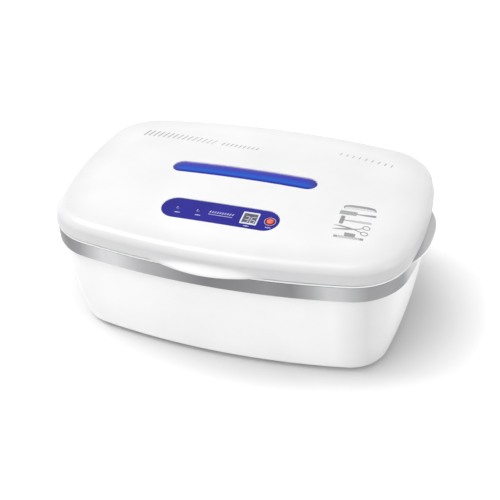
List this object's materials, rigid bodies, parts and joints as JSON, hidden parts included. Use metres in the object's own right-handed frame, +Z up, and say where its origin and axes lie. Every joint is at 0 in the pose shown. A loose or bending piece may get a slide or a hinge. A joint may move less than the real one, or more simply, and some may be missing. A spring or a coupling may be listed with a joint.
{
  "type": "ultraviolet sterilizer box",
  "caption": "Countertop ultraviolet sterilizer box for small tools: tapered tub, hinged domed lid with light window, display and push button, lift-out slotted tray.",
  "frame": {"origin": "on the floor, under the middle of the box", "axes": "+X along the length, to the right seen from the front lip; +Y to the hinge at the rear; +Z up"},
  "size_m": [0.3662, 0.25, 0.1438],
  "materials": {
    "white_abs": "semi-gloss moulded ABS",
    "lining_white": "satin moulded ABS",
    "silver_lacquer": "silver lacquer on moulded plastic",
    "window_violet": "polished translucent acrylic",
    "panel_violet": "polished, printed behind",
    "display_white": "satin",
    "display_grey": "gloss",
    "button_red": "satin",
    "ring_red": "gloss",
    "led_clear": "clear resin",
    "steel": "drawn, zinc plated",
    "aluminium": "bright rolled",
    "lamp_glass": "clear quartz",
    "rubber": "matt",
    "silicone": "matt",
    "circuit_board": "solder resist",
    "tray_grey": "satin moulded",
    "black_plastic": "fine spark texture",
    "lead_white": "PVC"
  },
  "bodies": {
    "base": {"base_shell": "white_abs", "rim_band": "silver_lacquer", "inner_tub": "lining_white", "foot_front_left": "rubber", "foot_front_right": "rubber", "foot_rear_left": "rubber", "foot_rear_right": "rubber", "base_screw_1": "steel", "base_screw_2": "steel", "base_screw_3": "steel", "base_screw_4": "steel", "hinge_pin_left": "steel", "hinge_pin_right": "steel"},
    "lid": {"lid_shell": "white_abs", "lid_liner": "lining_white", "lid_seal": "silicone", "lid_screw_1": "steel", "lid_screw_2": "steel", "lid_screw_3": "steel", "lid_screw_4": "steel", "lid_screw_5": "steel", "lid_screw_6": "steel", "window_lens": "window_violet", "control_panel": "panel_violet", "reflector": "aluminium", "uv_lamp": "lamp_glass", "lamp_cap_left": "aluminium", "lamp_cap_right": "aluminium", "lamp_holder_left": "display_white", "lamp_holder_right": "display_white", "lamp_guard": "steel", "ballast": "black_plastic", "cord_gland": "black_plastic", "gland_nut": "black_plastic", "lamp_lead_left": "lead_white", "lamp_lead_right": "lead_white", "panel_lead": "lead_white", "display_frame": "display_white", "display_module": "display_grey", "button_ring": "ring_red", "led_uv": "led_clear", "led_power": "led_clear", "control_board": "circuit_board", "tact_switch": "black_plastic"},
    "set_button": {"set_button": "button_red", "switch_plunger": "button_red"},
    "tool_tray": {"tool_tray": "tray_grey"}
  },
  "joints": [
    {"name": "lid_hinge", "type": "hinge", "parent": "base", "child": "lid", "pos_m": [0, 0.121, 0.1152], "axis": [-1, 0, 0], "range_deg": [0, 100]},
    {"name": "button_press", "type": "slide", "parent": "lid", "child": "set_button", "axis": [0, 0.1085, -0.9941], "range_m": [0, 0.0007], "stiffness_N_per_m": 1200},
    {"name": "tray_lift", "type": "slide", "parent": "base", "child": "tool_tray", "axis": [0, 0, 1], "range_m": [0, 0.05]}
  ]
}
